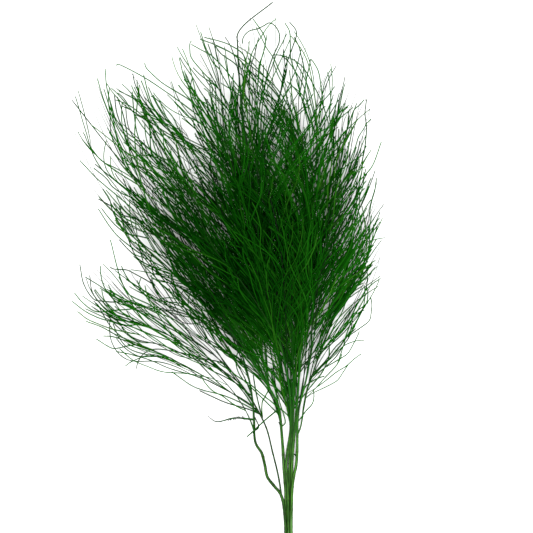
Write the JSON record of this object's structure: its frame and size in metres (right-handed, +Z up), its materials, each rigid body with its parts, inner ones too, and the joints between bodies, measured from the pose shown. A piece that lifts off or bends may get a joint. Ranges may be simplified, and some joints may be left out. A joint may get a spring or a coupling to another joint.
{
  "type": "dried fern bunch",
  "caption": "Bunch of dyed green dried tree-fern, lying flat: cut stems side by side at the foot, parting into a tall fan of fine arched threads.",
  "frame": {"origin": "middle of the bunch's box, on the surface that it lies on", "axes": "+Y from the cut ends to the tips, +X to the right as seen from above with the tips away, +Z up from the surface"},
  "size_m": [0.401, 0.709, 0.1186],
  "materials": {
    "dyed_fern": "dry, matt, dyed deep green, paler grey-green on the stems"
  },
  "bodies": {
    "root": {"stem_far_left": "dyed_fern", "stem_left": "dyed_fern", "stem_centre_left": "dyed_fern", "stem_centre": "dyed_fern", "stem_centre_right": "dyed_fern", "stem_right": "dyed_fern"}
  },
  "joints": []
}
